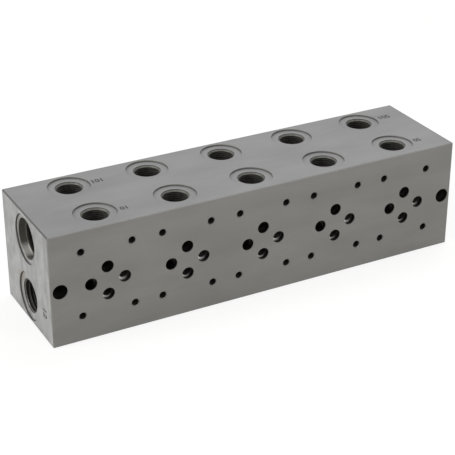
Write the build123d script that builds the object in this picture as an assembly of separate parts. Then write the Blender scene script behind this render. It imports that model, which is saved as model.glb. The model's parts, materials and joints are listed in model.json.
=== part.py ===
from build123d import *
import math
import os

# A hydraulic bar manifold: one machined steel block that carries five small
# directional valves side by side on its front face. Two long galleries join all
# the stations: pressure above and tank below. Each valve's A and B lines come
# out of their own pair of threaded ports on the top face.
#
# Millimetres. The origin is the middle of the bottom face: +X runs along the
# block, the valves sit on the -Y face, and +Z is up.

# Block
block_length = 270.0
block_depth = 70.0
block_height = 70.0
edge_break = 0.5

# Valve stations, along the front face
station_count = 5
station_pitch = 50.0
first_station_from_end = 35.0
station_height = 35.0

# Valve interface of size 03, measured from the middle of its P and T ports
pressure_port_x = 10.4
tank_port_x = -10.4
a_port_z = 8.8
b_port_z = -8.7
top_screw_spacing = 31.0
bottom_screw_spacing = 32.5
top_screw_z = 21.5
bottom_screw_z = -19.0
valve_port_diameter = 7.5
valve_port_mouth_depth = 3.0
angled_drill_diameter = 6.0
angled_drill_shift = 0.35

# Valve screw holes: M5, each with its wall at the thread's full diameter
screw_thread_diameter = 5.0
screw_hole_depth = 14.0

# A and B ports on the top face: G 3/8, at the thread's full diameter
work_port_thread = 16.662
work_port_depth = 13.5
work_port_spotface = 25.6
work_port_core_drill = 8.0
a_row_from_front = 16.75
b_row_from_front = 54.75
work_port_shift_x = 0.7
b_meeting_height = 42.0

# Pressure and tank ports on both ends: G 1/2, at the thread's full diameter
end_port_thread = 20.955
end_port_depth = 15.5
end_port_spotface = 30.0
pressure_counterbore = 24.5
pressure_counterbore_depth = 4.0
gallery_diameter = 14.0
gallery_from_front = 35.5
pressure_gallery_height = 53.25
tank_gallery_height = 16.0

# Holes that fix the block to its carrier, right through from front to back
fixing_hole_diameter = 9.0
fixing_hole_from_end = 6.0
fixing_hole_height = 35.0

# Tools
spotface_depth = 1.0
drill_point_angle = 118.0

front_y = -block_depth / 2
left_x = -block_length / 2
gallery_y = front_y + gallery_from_front
a_row_y = front_y + a_row_from_front
b_row_y = front_y + b_row_from_front
first_station_x = left_x + first_station_from_end
station_xs = [first_station_x + i * station_pitch for i in range(station_count)]


def turned(outline):
    """The space that a tool clears: its half outline as (radius, height) points, turned about Z."""
    profile = make_face(Polyline([(r, 0, z) for r, z in outline], close=True))
    return revolve(profile, Axis.Z)


def point_length(diameter):
    """How far a drill's point reaches past its full diameter."""
    return diameter / 2 / math.tan(math.radians(drill_point_angle / 2))


def drilling(diameter, depth):
    """A drilled hole that goes down from the origin, with the cone that the drill's point leaves."""
    radius = diameter / 2
    tip = depth + point_length(diameter)
    return turned([(0, 0), (radius, 0), (radius, -depth), (0, -tip)])


def drilling_between(mouth, target, diameter):
    """A straight drilling from a mouth to a point on the passage that it has to meet."""
    reach = Vector(*mouth) - Vector(*target)
    return Plane(origin=mouth, z_dir=reach) * drilling(diameter, reach.length)


def flat_hole(diameter, depth):
    """A round hole that goes down from the origin to a flat floor."""
    radius = diameter / 2
    return turned([(0, 0), (radius, 0), (radius, -depth), (0, -depth)])


def work_port(x, y, meeting_height):
    """One threaded port on the top face: its seal's spotface, its thread and the core drilled on down.

    The core goes on past the drilling that it meets, so that all of that drilling opens into it.
    """
    floor_height = block_height - spotface_depth
    core_bottom_height = meeting_height - valve_port_diameter / 2
    top = Plane(origin=(x, y, block_height), z_dir=(0, 0, 1))
    floor = Plane(origin=(x, y, floor_height), z_dir=(0, 0, 1))
    return [
        top * flat_hole(work_port_spotface, spotface_depth),
        floor * drilling(work_port_thread, work_port_depth),
        floor * drilling(work_port_core_drill, floor_height - core_bottom_height),
    ]


def end_port(side, height, counterbore_depth):
    """One threaded port on an end face. side is -1 on the left and 1 on the right."""
    outward = (side, 0, 0)
    x = side * block_length / 2
    floor_x = x - side * spotface_depth
    seat_x = floor_x - side * counterbore_depth
    face, floor, seat = [
        Plane(origin=(at, gallery_y, height), z_dir=outward) for at in (x, floor_x, seat_x)
    ]
    tools = [
        face * flat_hole(end_port_spotface, spotface_depth),
        seat * drilling(end_port_thread, end_port_depth),
    ]
    if counterbore_depth:
        tools.append(floor * flat_hole(pressure_counterbore, counterbore_depth))
    return tools


def gallery(height):
    """A passage right along the block, from the port at one end to the port at the other."""
    along = Plane(origin=(0, gallery_y, height), z_dir=(1, 0, 0))
    return along * Cylinder(gallery_diameter / 2, block_length - 2 * spotface_depth)


def station(x):
    """Every hole of one valve: four valve ports, four screw holes and two work ports."""
    port_x = x + work_port_shift_x
    a_height = station_height + a_port_z
    b_height = station_height + b_port_z
    tools = work_port(port_x, a_row_y, a_height)
    tools += work_port(port_x, b_row_y, b_meeting_height)

    # A runs straight back into its port's core, and B climbs between the galleries.
    straight = Plane(origin=(x, front_y, a_height), z_dir=(0, -1, 0))
    tools.append(straight * flat_hole(valve_port_diameter, a_row_from_front))
    lines = [
        (0, b_height, -angled_drill_shift, (port_x, b_row_y, b_meeting_height)),
        (
            pressure_port_x,
            station_height,
            -angled_drill_shift,
            (x + pressure_port_x, gallery_y, pressure_gallery_height),
        ),
        (
            tank_port_x,
            station_height,
            angled_drill_shift,
            (x + tank_port_x, gallery_y, tank_gallery_height),
        ),
    ]
    for offset, height, shift, target in lines:
        mouth = Plane(origin=(x + offset, front_y, height), z_dir=(0, -1, 0))
        tools.append(mouth * flat_hole(valve_port_diameter, valve_port_mouth_depth))
        start = (x + offset, front_y, height + shift)
        tools.append(drilling_between(start, target, angled_drill_diameter))

    screw_hole = flat_hole(screw_thread_diameter, screw_hole_depth)
    for spacing, z in ((top_screw_spacing, top_screw_z), (bottom_screw_spacing, bottom_screw_z)):
        for side in (-1, 1):
            at = (x + side * spacing / 2, front_y, station_height + z)
            tools.append(Plane(origin=at, z_dir=(0, -1, 0)) * screw_hole)
    return tools


def fixing_hole(side):
    """A plain hole right through the block from front to back."""
    x = side * (block_length / 2 - fixing_hole_from_end)
    front = Plane(origin=(x, front_y, fixing_hole_height), z_dir=(0, -1, 0))
    return front * flat_hole(fixing_hole_diameter, block_depth)


block = Box(
    block_length,
    block_depth,
    block_height,
    align=(Align.CENTER, Align.CENTER, Align.MIN),
)
block = chamfer(block.edges(), edge_break)

tools = [gallery(pressure_gallery_height), gallery(tank_gallery_height)]
for side in (-1, 1):
    tools += end_port(side, pressure_gallery_height, pressure_counterbore_depth)
    tools += end_port(side, tank_gallery_height, 0)
    tools.append(fixing_hole(side))
for x in station_xs:
    tools += station(x)

manifold_block = block - tools
manifold_block.label = "manifold_block"

os.makedirs("parts", exist_ok=True)
export_step(manifold_block, "parts/manifold_block.step")
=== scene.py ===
import json
import math

import bmesh
import bpy
from mathutils import Matrix, Vector


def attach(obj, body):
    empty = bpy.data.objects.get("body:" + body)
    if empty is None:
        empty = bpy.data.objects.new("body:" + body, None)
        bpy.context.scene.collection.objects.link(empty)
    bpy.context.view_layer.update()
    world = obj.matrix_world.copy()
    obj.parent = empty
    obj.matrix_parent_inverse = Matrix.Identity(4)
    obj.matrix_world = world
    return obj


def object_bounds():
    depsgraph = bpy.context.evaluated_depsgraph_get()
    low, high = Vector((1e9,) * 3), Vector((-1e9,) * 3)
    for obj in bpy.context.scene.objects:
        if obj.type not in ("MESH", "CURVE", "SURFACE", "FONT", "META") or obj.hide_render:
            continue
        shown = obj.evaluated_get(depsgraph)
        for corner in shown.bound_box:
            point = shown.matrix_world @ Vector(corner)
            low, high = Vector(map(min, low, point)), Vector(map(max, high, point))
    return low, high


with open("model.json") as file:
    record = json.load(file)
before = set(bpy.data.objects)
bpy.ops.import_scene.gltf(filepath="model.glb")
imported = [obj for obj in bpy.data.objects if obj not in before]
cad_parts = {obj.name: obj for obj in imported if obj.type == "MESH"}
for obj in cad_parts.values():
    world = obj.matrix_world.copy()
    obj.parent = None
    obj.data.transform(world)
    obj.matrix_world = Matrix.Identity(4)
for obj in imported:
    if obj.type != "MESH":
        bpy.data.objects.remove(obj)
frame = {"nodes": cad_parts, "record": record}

cad_low, cad_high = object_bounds()
mounts = {mount["name"]: mount for mount in frame["record"]["mounts"]}


# --- Camera -------------------------------------------------------------------
# A long lens, a little above the block and round to the left of its valve face,
# so that the valve face, the top and the left end all show.

camera_place = Vector((-0.3634, -0.6678, 0.4217))
camera_looks_along = Vector((0.4196, 0.7825, -0.4600))
camera_lens_mm = 110.4

camera_data = bpy.data.cameras.new("camera")
camera_data.lens = camera_lens_mm
camera_data.sensor_width = 36.0
camera_data.clip_start = 0.01
camera = bpy.data.objects.new("camera", camera_data)
bpy.context.collection.objects.link(camera)
camera.location = camera_place
camera.rotation_euler = camera_looks_along.to_track_quat("-Z", "Y").to_euler()
bpy.context.scene.camera = camera


# --- The block ----------------------------------------------------------------
# One sawn bar of carbon steel, milled square and fine ground on every side, then
# drilled, spotfaced and tapped. It is wiped with oil and has no paint or plating.

middle = (cad_low + cad_high) / 2
half = (cad_high - cad_low) / 2
first_port = Vector(mounts["work_port_a1"]["pos_m"])
port_pitch = mounts["work_port_a2"]["pos_m"][0] - first_port.x
row_spacing = mounts["work_port_b1"]["pos_m"][1] - first_port.y
station_cell = Vector((port_pitch, 1.0, 1.0))
pressure_axis = Vector(mounts["pressure_port_left"]["pos_m"])
tank_axis = Vector(mounts["tank_port_left"]["pos_m"])

# Depths run inward from the outer faces. A surface turns from outside to inside between these two,
# either side of the 0.5 mm edge break.
outside_depth = 0.35e-3
inside_depth = 0.75e-3
# The deepest floor that is cut bright: in an end's counterbore, a valve port's mouth and a spotface.
# These depths, and the next two, have a little over, so that they take in the floor itself.
bright_floor_depths = Vector((5.3e-3, 3.3e-3, 1.3e-3))
spotface_depth = 1.02e-3
counterbore_depth = 5.1e-3
counterbore_radius = 12.25e-3
counterbore_reach = counterbore_radius + 0.4e-3
# How wide the painted dark reflection along the ends' edges is where it is darkest, and where it has faded
# out.
edge_dark_width = 0.6e-3
edge_dark_fade = 1.0e-3

# How coarse the faces' patterns are, and how high the ones that catch the light.
side_tone_mm = 16
end_cloud_mm = 7
grinding_mm = 0.4
grinding_height = 5e-6
ring_spacing = 0.9e-3
ring_height = 6e-6

rust_centre = Vector((cad_low.x, tank_axis.y + 10.5e-3, tank_axis.z + 7.0e-3))
rust_radius = 7.0e-3
# A painted highlight stands on one side of each hole: low at the back of a counterbore's wall, and at the
# lower left of a port's floor.
counterbore_gleam_side = Vector((0, 0.5, -0.87))
port_gleam_from_axis = Vector((-2.3e-3, 0, -2.3e-3))
port_gleam_core = 0.8e-3
port_gleam_reach = 4.8e-3


def linear(hex_colour):
    """An sRGB hex colour as the linear colour that a shader takes."""
    channels = [int(hex_colour[i : i + 2], 16) / 255 for i in (1, 3, 5)]
    return [c / 12.92 if c <= 0.04045 else ((c + 0.055) / 1.055) ** 2.4 for c in channels] + [1.0]


def add_node(tree, kind, inputs=None, **settings):
    """Adds a shader node and gives its outputs. Each input takes a value, or the socket that feeds it."""
    node = tree.nodes.new(kind)
    for key, value in settings.items():
        setattr(node, key, value)
    for key, value in (inputs or {}).items():
        if isinstance(value, bpy.types.NodeSocket):
            tree.links.new(value, node.inputs[key])
        else:
            node.inputs[key].default_value = value
    return node.outputs


def ground_steel():
    """Ground carbon steel: matt, even grey faces, bright cut floors, drillings painted near-black as
    painted shade, and painted highlights in some holes.
    """
    material = bpy.data.materials.new("ground_steel")
    material.use_nodes = True
    tree = material.node_tree
    shader = tree.nodes["Principled BSDF"]
    place = add_node(tree, "ShaderNodeTexCoord")["Object"]
    normal = add_node(tree, "ShaderNodeNewGeometry")["True Normal"]

    # How far below the outer faces a point lies, across X, Y and Z, and how far it faces outward.
    off = add_node(tree, "ShaderNodeVectorMath", {0: place, 1: middle}, operation="SUBTRACT")[0]
    spread = add_node(tree, "ShaderNodeVectorMath", {0: off}, operation="ABSOLUTE")[0]
    below = add_node(tree, "ShaderNodeVectorMath", {0: half, 1: spread}, operation="SUBTRACT")[0]
    side = add_node(tree, "ShaderNodeVectorMath", {0: off}, operation="SIGN")[0]
    facing = add_node(tree, "ShaderNodeVectorMath", {0: normal, 1: side}, operation="MULTIPLY")[0]
    below_end, below_side, below_top = add_node(tree, "ShaderNodeSeparateXYZ", {0: below})
    nearer = add_node(tree, "ShaderNodeMath", {0: below_end, 1: below_side}, operation="MINIMUM")[0]
    depth = add_node(tree, "ShaderNodeMath", {0: nearer, 1: below_top}, operation="MINIMUM")[0]
    inside = add_node(
        tree,
        "ShaderNodeMapRange",
        {"Value": depth, "From Min": outside_depth, "From Max": inside_depth},
        interpolation_type="SMOOTHSTEP",
    )[0]

    # Flats that face outward, and those of them that lie no deeper than the bright floors.
    # The Map Range node's vector sockets are 6 to 10: the value, from and from, to and to.
    outward = add_node(
        tree,
        "ShaderNodeMapRange",
        {6: facing, 7: (0.8, 0.8, 0.8), 8: (0.9, 0.9, 0.9)},
        data_type="FLOAT_VECTOR",
    )[1]
    shallow = add_node(
        tree,
        "ShaderNodeMapRange",
        {
            6: below,
            7: bright_floor_depths,
            8: bright_floor_depths * 1.01,
            9: (1, 1, 1),
            10: (0, 0, 0),
        },
        data_type="FLOAT_VECTOR",
    )[1]
    floors = add_node(tree, "ShaderNodeVectorMath", {0: outward, 1: shallow}, operation="MULTIPLY")[0]
    on_end, on_side, on_top = add_node(tree, "ShaderNodeSeparateXYZ", {0: floors})
    flat = add_node(tree, "ShaderNodeMath", {0: on_end, 1: on_side}, operation="MAXIMUM")[0]
    flat = add_node(tree, "ShaderNodeMath", {0: flat, 1: on_top}, operation="MAXIMUM")[0]

    # The pressure ports' counterbores are bored smooth, so their walls keep some of their shine.
    across = add_node(tree, "ShaderNodeVectorMath", {0: place, 1: pressure_axis}, operation="SUBTRACT")[0]
    across = add_node(tree, "ShaderNodeVectorMath", {0: across, 1: (0, 1, 1)}, operation="MULTIPLY")[0]
    from_axis = add_node(tree, "ShaderNodeVectorMath", {0: across}, operation="LENGTH")["Value"]
    within = add_node(
        tree, "ShaderNodeMath", {0: from_axis, 1: counterbore_reach}, operation="LESS_THAN"
    )[0]
    mouth = add_node(tree, "ShaderNodeMath", {0: below_end, 1: counterbore_depth}, operation="LESS_THAN")[0]
    bored = add_node(tree, "ShaderNodeMath", {0: within, 1: mouth}, operation="MULTIPLY")[0]
    kept = add_node(tree, "ShaderNodeMath", {0: flat, 1: bored}, operation="MAXIMUM")[0]
    # Every other surface below the edge break is painted dark, as painted shade inside the drillings.
    lost = add_node(tree, "ShaderNodeMath", {0: 1.0, 1: kept}, operation="SUBTRACT")[0]
    inside_painted_shade = add_node(tree, "ShaderNodeMath", {0: inside, 1: lost}, operation="MULTIPLY")[0]

    # The ends' top and bottom edges are broken, and a band along them is darkened as a painted reflection
    # of the dark in their chamfers.
    from_edge = add_node(tree, "ShaderNodeMath", {0: below_end, 1: below_top}, operation="ADD")[0]
    edge_dark_painted = add_node(
        tree,
        "ShaderNodeMapRange",
        {"Value": from_edge, "From Min": edge_dark_fade, "From Max": edge_dark_width, "To Max": 0.75},
    )[0]
    dark = add_node(tree, "ShaderNodeMath", {0: inside_painted_shade, 1: edge_dark_painted}, operation="MAXIMUM")[0]

    # Long faces are ground along the bar: faint even tones, drawn out along its length.
    drawn = add_node(tree, "ShaderNodeMapping", {"Vector": place, "Scale": (0.3, 1, 1)})[0]
    soft = add_node(
        tree, "ShaderNodeTexNoise", {"Vector": drawn, "Scale": 1000 / side_tone_mm, "Detail": 4.0}
    )[0]
    soft = add_node(tree, "ShaderNodeMapRange", {"Value": soft, "From Min": 0.3, "From Max": 0.7})[0]
    side_tone = add_node(
        tree, "ShaderNodeMix", {0: soft, 6: linear("#7c7b77"), 7: linear("#868581")}, data_type="RGBA"
    )[2]
    top_tone = add_node(
        tree, "ShaderNodeMix", {0: soft, 6: linear("#7a7a7b"), 7: linear("#858585")}, data_type="RGBA"
    )[2]

    # Ends are milled across: cloudy patches a few millimetres wide, taller than they are wide.
    drawn = add_node(tree, "ShaderNodeMapping", {"Vector": place, "Scale": (1, 1, 0.5)})[0]
    cloud = add_node(
        tree,
        "ShaderNodeTexNoise",
        {
            "Vector": drawn,
            "Scale": 1000 / end_cloud_mm,
            "Detail": 6.0,
            "Roughness": 0.62,
            "Distortion": 0.4,
        },
    )[0]
    cloud = add_node(tree, "ShaderNodeMapRange", {"Value": cloud, "From Min": 0.3, "From Max": 0.7})[0]
    end_tone = add_node(
        tree, "ShaderNodeMix", {0: cloud, 6: linear("#7a7a78"), 7: linear("#a7a7a5")}, data_type="RGBA"
    )[2]

    # A film of rust has started on the rim above the left tank port.
    from_rust = add_node(
        tree, "ShaderNodeVectorMath", {0: place, 1: rust_centre}, operation="DISTANCE"
    )["Value"]
    rust = add_node(
        tree,
        "ShaderNodeMapRange",
        {"Value": from_rust, "From Min": rust_radius, "From Max": 0.0, "To Max": 0.8},
    )[0]
    end_tone = add_node(
        tree, "ShaderNodeMix", {0: rust, 6: end_tone, 7: linear("#8c8172")}, data_type="RGBA"
    )[2]

    colour = add_node(tree, "ShaderNodeMix", {0: on_top, 6: side_tone, 7: top_tone}, data_type="RGBA")[2]
    colour = add_node(tree, "ShaderNodeMix", {0: on_end, 6: colour, 7: end_tone}, data_type="RGBA")[2]

    # A counterbore's smooth wall has a painted highlight low down at the back, and is painted dull and
    # darker elsewhere as painted shade. The highlight is painted as paler steel, in the same place on every
    # counterbore.
    gleam = add_node(
        tree, "ShaderNodeVectorMath", {0: across, 1: counterbore_gleam_side}, operation="DOT_PRODUCT"
    )["Value"]
    gleam = add_node(
        tree,
        "ShaderNodeMapRange",
        {"Value": gleam, "From Min": 0.89 * counterbore_radius, "From Max": 1.03 * counterbore_radius},
        interpolation_type="SMOOTHSTEP",
    )[0]
    counterbore_wall_painted_light = add_node(
        tree, "ShaderNodeMix", {0: gleam, 6: linear("#66655f"), 7: linear("#dad8d2")}, data_type="RGBA"
    )[2]
    colour = add_node(tree, "ShaderNodeMix", {0: bored, 6: colour, 7: counterbore_wall_painted_light}, data_type="RGBA")[2]

    # The floors of the P and B ports have a painted highlight at their lower left, drawn in the same way,
    # and painted shade elsewhere. The walls above them are painted darkest of all, as painted shade.
    port_floor = add_node(tree, "ShaderNodeMath", {0: on_side, 1: inside}, operation="MULTIPLY")[0]
    from_gleam = None
    for port in ("valve_p1", "valve_b1"):
        brightest = Vector(mounts[port]["pos_m"]) + port_gleam_from_axis
        reach = add_node(tree, "ShaderNodeVectorMath", {0: place, 1: brightest}, operation="SUBTRACT")[0]
        reach = add_node(
            tree,
            "ShaderNodeVectorMath",
            {0: reach, 1: station_cell / 2, 2: -station_cell / 2},
            operation="WRAP",
        )[0]
        reach = add_node(tree, "ShaderNodeVectorMath", {0: reach, 1: (1, 0, 1)}, operation="MULTIPLY")[0]
        reach = add_node(tree, "ShaderNodeVectorMath", {0: reach}, operation="LENGTH")["Value"]
        if from_gleam is None:
            from_gleam = reach
        else:
            from_gleam = add_node(tree, "ShaderNodeMath", {0: from_gleam, 1: reach}, operation="MINIMUM")[0]
    gleam = add_node(
        tree,
        "ShaderNodeMapRange",
        {
            "Value": from_gleam,
            "From Min": port_gleam_core,
            "From Max": port_gleam_reach,
            "To Min": 1.0,
            "To Max": 0.0,
        },
    )[0]
    port_floor_painted_light = add_node(
        tree, "ShaderNodeMix", {0: gleam, 6: linear("#2a2927"), 7: linear("#f4f3ee")}, data_type="RGBA"
    )[2]
    colour = add_node(
        tree, "ShaderNodeMix", {0: port_floor, 6: colour, 7: port_floor_painted_light}, data_type="RGBA"
    )[2]
    by_front = add_node(
        tree, "ShaderNodeMath", {0: below_side, 1: bright_floor_depths.y}, operation="LESS_THAN"
    )[0]
    painted_dark_tone = add_node(
        tree, "ShaderNodeMix", {0: by_front, 6: linear("#32312d"), 7: linear("#131211")}, data_type="RGBA"
    )[2]
    # The top's spotfaces are shallow, and their walls are painted mid grey, a lighter painted shade than in
    # the deeper drillings.
    by_top = add_node(tree, "ShaderNodeMath", {0: below_top, 1: spotface_depth}, operation="LESS_THAN")[0]
    painted_dark_tone = add_node(
        tree, "ShaderNodeMix", {0: by_top, 6: painted_dark_tone, 7: linear("#5b5a56")}, data_type="RGBA"
    )[2]
    # Along the ends' edges, the painted dark reflection takes this tone.
    painted_dark_tone = add_node(
        tree, "ShaderNodeMix", {0: edge_dark_painted, 6: painted_dark_tone, 7: linear("#32312d")}, data_type="RGBA"
    )[2]
    colour = add_node(tree, "ShaderNodeMix", {0: dark, 6: colour, 7: painted_dark_tone}, data_type="RGBA")[2]
    tree.links.new(colour, shader.inputs["Base Color"])

    # Grinding lines are about 0.1 mm apart, and drawn at 0.4 mm so that they show.
    drawn = add_node(tree, "ShaderNodeMapping", {"Vector": place, "Scale": (0.02, 1, 1)})[0]
    lines = add_node(tree, "ShaderNodeTexNoise", {"Vector": drawn, "Scale": 1000 / grinding_mm})[0]
    rough = add_node(
        tree,
        "ShaderNodeMapRange",
        {"Value": lines, "From Min": 0.3, "From Max": 0.7, "To Min": 0.44, "To Max": 0.56},
    )[0]
    rough = add_node(tree, "ShaderNodeMix", {0: bored, 2: rough, 3: 0.4}, data_type="FLOAT")[0]
    tree.links.new(rough, shader.inputs["Roughness"])
    # So matt a face scatters most of its light, and shows only part of a metal's reflection.
    shader.inputs["Metallic"].default_value = 0.35

    # Spotfacing leaves rings about 0.15 mm apart round each port, drawn at 0.9 mm so that they show.
    rings = []
    for axis, cell, plane in (
        (first_port, Vector((port_pitch, row_spacing, 1.0)), (1, 1, 0)),
        (tank_axis, Vector((1.0, 1.0, pressure_axis.z - tank_axis.z)), (0, 1, 1)),
    ):
        reach = add_node(tree, "ShaderNodeVectorMath", {0: place, 1: axis}, operation="SUBTRACT")[0]
        reach = add_node(
            tree, "ShaderNodeVectorMath", {0: reach, 1: cell / 2, 2: -cell / 2}, operation="WRAP"
        )[0]
        reach = add_node(tree, "ShaderNodeVectorMath", {0: reach, 1: plane}, operation="MULTIPLY")[0]
        radius = add_node(tree, "ShaderNodeVectorMath", {0: reach}, operation="LENGTH")["Value"]
        turns = add_node(
            tree, "ShaderNodeMath", {0: radius, 1: 2 * math.pi / ring_spacing}, operation="MULTIPLY"
        )[0]
        rings.append(add_node(tree, "ShaderNodeMath", {0: turns}, operation="SINE")[0])
    ring = add_node(tree, "ShaderNodeMix", {0: on_end, 2: rings[0], 3: rings[1]}, data_type="FLOAT")[0]
    on_floor = add_node(tree, "ShaderNodeMath", {0: flat, 1: inside}, operation="MULTIPLY")[0]
    ring = add_node(tree, "ShaderNodeMath", {0: ring, 1: on_floor}, operation="MULTIPLY")[0]
    ring = add_node(tree, "ShaderNodeMath", {0: ring, 1: ring_height}, operation="MULTIPLY")[0]
    ground = add_node(
        tree, "ShaderNodeMapRange", {"Value": inside, "To Min": grinding_height, "To Max": 0.0}
    )[0]
    height = add_node(
        tree, "ShaderNodeMath", {0: lines, 1: ground, 2: ring}, operation="MULTIPLY_ADD"
    )[0]
    bump = add_node(tree, "ShaderNodeBump", {"Height": height, "Distance": 1.0})[0]
    tree.links.new(bump, shader.inputs["Normal"])
    return material


block = frame["nodes"]["manifold_block"]
block.data.materials.clear()
block.data.materials.append(ground_steel())


# --- Work port threads --------------------------------------------------------
# The ten ports on the top face are tapped G 3/8 for hose fittings. Each thread is
# cut in the block's own steel, and a 45 degree lead just below the rim cuts its crests.

rim_height = 0.35e-3
port_steps_per_turn = 48
# Every thread's foot runs this far into the wall of its hole, so that no gap shows.
foot_depth = 0.04e-3
# Half a ridge's width at its root and at its crest, in pitches.
half_root_pitches = 0.47
half_crest_pitches = 0.09


def cut_surface(name, low_tone, high_tone, patch_mm, metallic, roughness):
    """Steel that a tool has cut: it varies between two close tones, in patches of about patch_mm."""
    material = bpy.data.materials.new(name)
    material.use_nodes = True
    tree = material.node_tree
    shader = tree.nodes["Principled BSDF"]
    place = add_node(tree, "ShaderNodeTexCoord")["Object"]
    patch = add_node(tree, "ShaderNodeTexNoise", {"Vector": place, "Scale": 1000 / patch_mm})[0]
    patch = add_node(tree, "ShaderNodeMapRange", {"Value": patch, "From Min": 0.35, "From Max": 0.65})[0]
    tone = add_node(
        tree, "ShaderNodeMix", {0: patch, 6: linear(low_tone), 7: linear(high_tone)}, data_type="RGBA"
    )[2]
    tree.links.new(tone, shader.inputs["Base Color"])
    shader.inputs["Metallic"].default_value = metallic
    shader.inputs["Roughness"].default_value = roughness
    return material


# Tapped steel, painted dark grey as painted shade inside the ports, with a soft shine on its crests.
tapped_steel_painted_dark = cut_surface("tapped_steel_painted_dark", "#3b3a36", "#4b4a46", 3.0, 0.5, 0.38)
# A countersink leaves a turned cone that is a little darker than the ground faces.
countersunk_steel = cut_surface("countersunk_steel", "#565550", "#64635e", 1.5, 0.4, 0.5)


def cut_thread(into, mouth, axis, radius, crest_radius, pitch, length, lead, steps_per_turn):
    """Adds one right-hand internal thread to a bmesh: a lead cone, and a ridge that stands in."""
    inward = -axis.normalized()
    across = inward.orthogonal().normalized()
    beside = inward.cross(across)
    seat = radius + foot_depth

    def loops(profiles):
        """One ring of points for each (angle, [(radius, depth), ...]) profile."""
        for angle, points in profiles:
            out = across * math.cos(angle) + beside * math.sin(angle)
            yield [into.verts.new(mouth + out * r + inward * d) for r, d in points]

    def skin(rings, finish):
        """Joins each ring of points to the next."""
        before = next(rings)
        for ring in rings:
            for k in range(len(ring)):
                beyond = (k + 1) % len(ring)
                face = into.faces.new((before[k], before[beyond], ring[beyond], ring[k]))
                face.material_index = finish
            before = ring

    # The lead is a cone that runs in from the full diameter toward the crests.
    cone = [(seat, 0.0), (radius, 0.0), (radius - lead, lead), (seat, lead)]
    turn = [2 * math.pi * i / steps_per_turn for i in range(steps_per_turn + 1)]
    skin(loops((angle, cone) for angle in turn), 1)

    half_root = half_root_pitches * pitch
    half_crest = half_crest_pitches * pitch
    first = lead + half_root
    travel = length - first - half_root
    steps = int(travel / pitch * steps_per_turn)

    def ridge():
        """The thread's profile at each step down its helix. It runs out to nothing at the bottom."""
        for i in range(steps + 1):
            depth = first + travel * i / steps
            run_out = (first + travel - depth) + 0.02 * pitch
            crest = max(crest_radius, radius - run_out)
            share = (radius - crest) / (radius - crest_radius)
            half_top = half_root + (half_crest - half_root) * share
            yield 2 * math.pi * i / steps_per_turn, [
                (seat, depth - half_root),
                (crest, depth - half_top),
                (crest, depth + half_top),
                (seat, depth + half_root),
            ]

    skin(loops(ridge()), 0)


def finished_piece(name, mesh_code, finishes):
    """A named piece of the block from a bmesh, riding with the block."""
    bmesh.ops.remove_doubles(mesh_code, verts=mesh_code.verts, dist=1e-7)
    bmesh.ops.holes_fill(mesh_code, edges=mesh_code.edges, sides=4)
    bmesh.ops.recalc_face_normals(mesh_code, faces=mesh_code.faces)
    mesh = bpy.data.meshes.new(name)
    mesh_code.to_mesh(mesh)
    mesh_code.free()
    for finish in finishes:
        mesh.materials.append(finish)
    piece = bpy.data.objects.new(name, mesh)
    bpy.context.collection.objects.link(piece)
    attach(piece, "root")


def port_threads(name, prefix, pitch_mm, crest_diameter_mm, lead_mm, lead_finish):
    """The threads of every port whose mount name starts with prefix, as one piece."""
    mesh_code = bmesh.new()
    for mount_name, mount in mounts.items():
        if mount_name.startswith(prefix):
            axis = Vector(mount["axis"])
            length = mount["dims"]["length_mm"] / 1000
            mouth = Vector(mount["pos_m"]) + axis * (length / 2 - rim_height)
            cut_thread(
                mesh_code,
                mouth,
                axis,
                mount["dims"]["r_mm"] / 1000,
                crest_diameter_mm / 2000,
                pitch_mm / 1000,
                length - rim_height,
                lead_mm / 1000,
                port_steps_per_turn,
            )
    finished_piece(name, mesh_code, [tapped_steel_painted_dark, lead_finish])


port_threads(
    "work_port_threads",
    "work_port_",
    pitch_mm=1.337,
    crest_diameter_mm=14.95,
    lead_mm=0.85,
    lead_finish=countersunk_steel,
)


# --- Pressure and tank port threads -------------------------------------------
# The two ports on each end are tapped G 1/2. The upper one sits at the bottom of
# a smooth counterbore, and the lower one starts at its spotface.

# The deeper lead below a counterbore is painted as dark as the thread itself, as painted shade.
deep_lead_painted_shade = cut_surface("deep_lead_painted_shade", "#1c1b19", "#262522", 1.5, 0.8, 0.8)
# The tank ports' leads keep a film of oil, a tone darker than the clean ones on the top face.
filmed_lead = cut_surface("filmed_lead", "#4a4944", "#585752", 1.5, 0.4, 0.5)

for name, prefix, lead_finish in (
    ("pressure_port_threads", "pressure_port_", deep_lead_painted_shade),
    ("tank_port_threads", "tank_port_", filmed_lead),
):
    port_threads(
        name,
        prefix,
        pitch_mm=1.814,
        crest_diameter_mm=18.63,
        lead_mm=0.6,
        lead_finish=lead_finish,
    )


# --- Valve screw threads ------------------------------------------------------
# Four M5 holes round each valve's ports take the screws that clamp the valve to
# the block. They are tapped straight into the steel, to nearly 12 mm deep.

screw_steps_per_turn = 24
screw_pitch = 0.8e-3
screw_crest_radius = 2.067e-3
screw_thread_length = 11.6e-3
screw_lead = 0.43e-3

mesh_code = bmesh.new()
for mount_name, mount in mounts.items():
    if mount_name.startswith("valve_screws_"):
        for side in (-1, 1):
            axis = Vector(mount["axis"])
            off_centre = Vector((side * mount["dims"]["spacing_x_mm"] / 2000, 0, 0))
            cut_thread(
                mesh_code,
                Vector(mount["pos_m"]) + off_centre,
                axis,
                mount["dims"]["hole_r_mm"] / 1000,
                screw_crest_radius,
                screw_pitch,
                screw_thread_length,
                screw_lead,
                screw_steps_per_turn,
            )
# So small a thread is painted black as painted shade, inside a lead that the face's grinding left clean.
screw_thread_painted_shade = cut_surface("screw_thread_painted_shade", "#0d0d0c", "#181715", 1.0, 0.9, 0.5)
clean_lead = cut_surface("clean_lead", "#6b6a66", "#7a7975", 1.0, 0.4, 0.45)
finished_piece("valve_screw_threads", mesh_code, [screw_thread_painted_shade, clean_lead])


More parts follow.
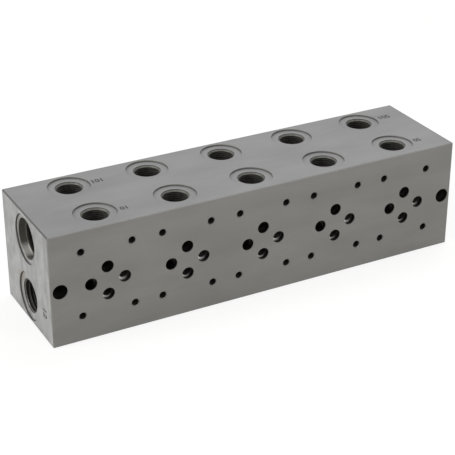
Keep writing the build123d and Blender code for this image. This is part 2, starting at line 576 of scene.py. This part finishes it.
# --- Stamped port numbers -----------------------------------------------------
# Plain port numbers are stamped beside the first and last ports of each row, and beside the left tank port.
# Their strokes stand as thin dark marks on the ground face, painted dark as the painted shade in the
# punch's cuts.

stroke_growth = 0.2e-3
stroke_height = 0.02e-3
# A punch struck by hand bites unevenly, over a millimetre or two, and its strokes are painted dark as
# painted shade.
stamped_strokes_painted_shade = cut_surface("stamped_strokes_painted_shade", "#252422", "#3f3e3b", 1.6, 0.2, 0.6)

on_top_face = Matrix.Identity(4)
# The tank port's number runs down the left end.
down_left_end = Matrix(((0, 0, -1, 0), (0, -1, 0, 0), (-1, 0, 0, 0), (0, 0, 0, 1)))
for name, text, size, port, offset, turned in (
    ("port_number_front_first", "01", 5.2e-3, "work_port_a1", (17.0e-3, -2.5e-3), on_top_face),
    ("port_number_front_last", "05", 5.2e-3, "work_port_a5", (17.0e-3, -2.5e-3), on_top_face),
    ("port_number_back_first", "101", 5.6e-3, "work_port_b1", (17.6e-3, -0.7e-3), on_top_face),
    ("port_number_back_last", "105", 6.0e-3, "work_port_b5", (19.0e-3, -0.3e-3), on_top_face),
    ("port_number_tank", "12", 7.0e-3, "tank_port_left", (-24.7e-3, 1.8e-3), down_left_end),
):
    curve = bpy.data.curves.new(name, "FONT")
    curve.body = text
    curve.size = size
    curve.align_x = "CENTER"
    curve.align_y = "CENTER"
    curve.offset = stroke_growth
    curve.extrude = stroke_height
    writing = bpy.data.objects.new(name, curve)
    mesh = bpy.data.meshes.new_from_object(writing)
    bpy.data.objects.remove(writing)
    centre = Vector(mounts[port]["pos_m"])
    if turned == on_top_face:
        centre = Vector((centre.x + offset[0], centre.y + offset[1], cad_high.z))
    else:
        centre = Vector((cad_low.x, centre.y + offset[0], centre.z + offset[1]))
    mesh.transform(Matrix.Translation(centre) @ turned)
    mesh.materials.clear()
    mesh.materials.append(stamped_strokes_painted_shade)
    piece = bpy.data.objects.new(name, mesh)
    bpy.context.collection.objects.link(piece)
    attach(piece, "root")


# --- Floor and light ----------------------------------------------------------
# A white studio floor that runs out of sight, and soft daylight from all round. A
# large lamp on the left makes the end face brightest, one above lights the top, and
# a small one fills the valve face.


def seen_white(tree):
    """1 for what the camera, a reflection or glass sees, and 0 for what only gives light."""
    path = add_node(tree, "ShaderNodeLightPath")
    seen = path["Is Camera Ray"]
    for other in ("Is Glossy Ray", "Is Transmission Ray"):
        seen = add_node(tree, "ShaderNodeMath", {0: seen, 1: path[other]}, operation="MAXIMUM")[0]
    return seen


floor_half = 6.0
floor_gap = 0.2e-3
floor_mesh = bpy.data.meshes.new("floor")
corners = [(x * floor_half, y * floor_half, 0) for x, y in ((-1, -1), (1, -1), (1, 1), (-1, 1))]
floor_mesh.from_pydata(corners, [], [(0, 1, 2, 3)])
floor = bpy.data.objects.new("floor", floor_mesh)
bpy.context.collection.objects.link(floor)
floor.location.z = cad_low.z - floor_gap

# White background paper is matt, with next to no shine.
paper = bpy.data.materials.new("white_paper")
paper.use_nodes = True
tree = paper.node_tree
paper_shader = tree.nodes["Principled BSDF"]
paper_shader.inputs["Base Color"].default_value = linear("#e6e6e4")
paper_shader.inputs["Roughness"].default_value = 0.9
paper_shader.inputs["Specular IOR Level"].default_value = 0.1
# Seen directly, a quarter of the paper's own light is kept, so that it is white but holds a soft shadow.
own_light_share = 0.25
glow_strength = 1.1
glow = add_node(tree, "ShaderNodeEmission", {"Color": (1, 1, 1, 1), "Strength": glow_strength})[0]
lifted = add_node(
    tree, "ShaderNodeMixShader", {0: own_light_share, 1: glow, 2: paper_shader.outputs[0]}
)[0]
lit = add_node(tree, "ShaderNodeMixShader", {0: seen_white(tree), 1: paper_shader.outputs[0], 2: lifted})[0]
tree.links.new(lit, tree.nodes["Material Output"].inputs["Surface"])
floor_mesh.materials.append(paper)

ambient_strength = 0.30
world = bpy.data.worlds.new("studio")
world.use_nodes = True
bpy.context.scene.world = world
tree = world.node_tree
sky = tree.nodes["Background"]
sky.inputs["Color"].default_value = (1, 1, 1, 1)
level = add_node(
    tree, "ShaderNodeMapRange", {"Value": seen_white(tree), "To Min": ambient_strength, "To Max": 1.0}
)[0]
tree.links.new(level, sky.inputs["Strength"])


def lamp(name, place, size, power):
    """A square soft lamp that faces the block."""
    data = bpy.data.lights.new(name, "AREA")
    data.size = size
    data.energy = power
    item = bpy.data.objects.new(name, data)
    bpy.context.collection.objects.link(item)
    item.location = place
    aim = middle - Vector(place)
    item.rotation_euler = aim.to_track_quat("-Z", "Y").to_euler()


lamp("left_lamp", place=(-1.6, 0.0, 1.0), size=1.0, power=22.0)
lamp("top_lamp", place=(0.8, 0.5, 1.8), size=1.2, power=16.0)
lamp("front_lamp", place=(0.02, -0.38, 0.32), size=0.25, power=0.45)

bpy.context.scene.view_settings.view_transform = "Standard"
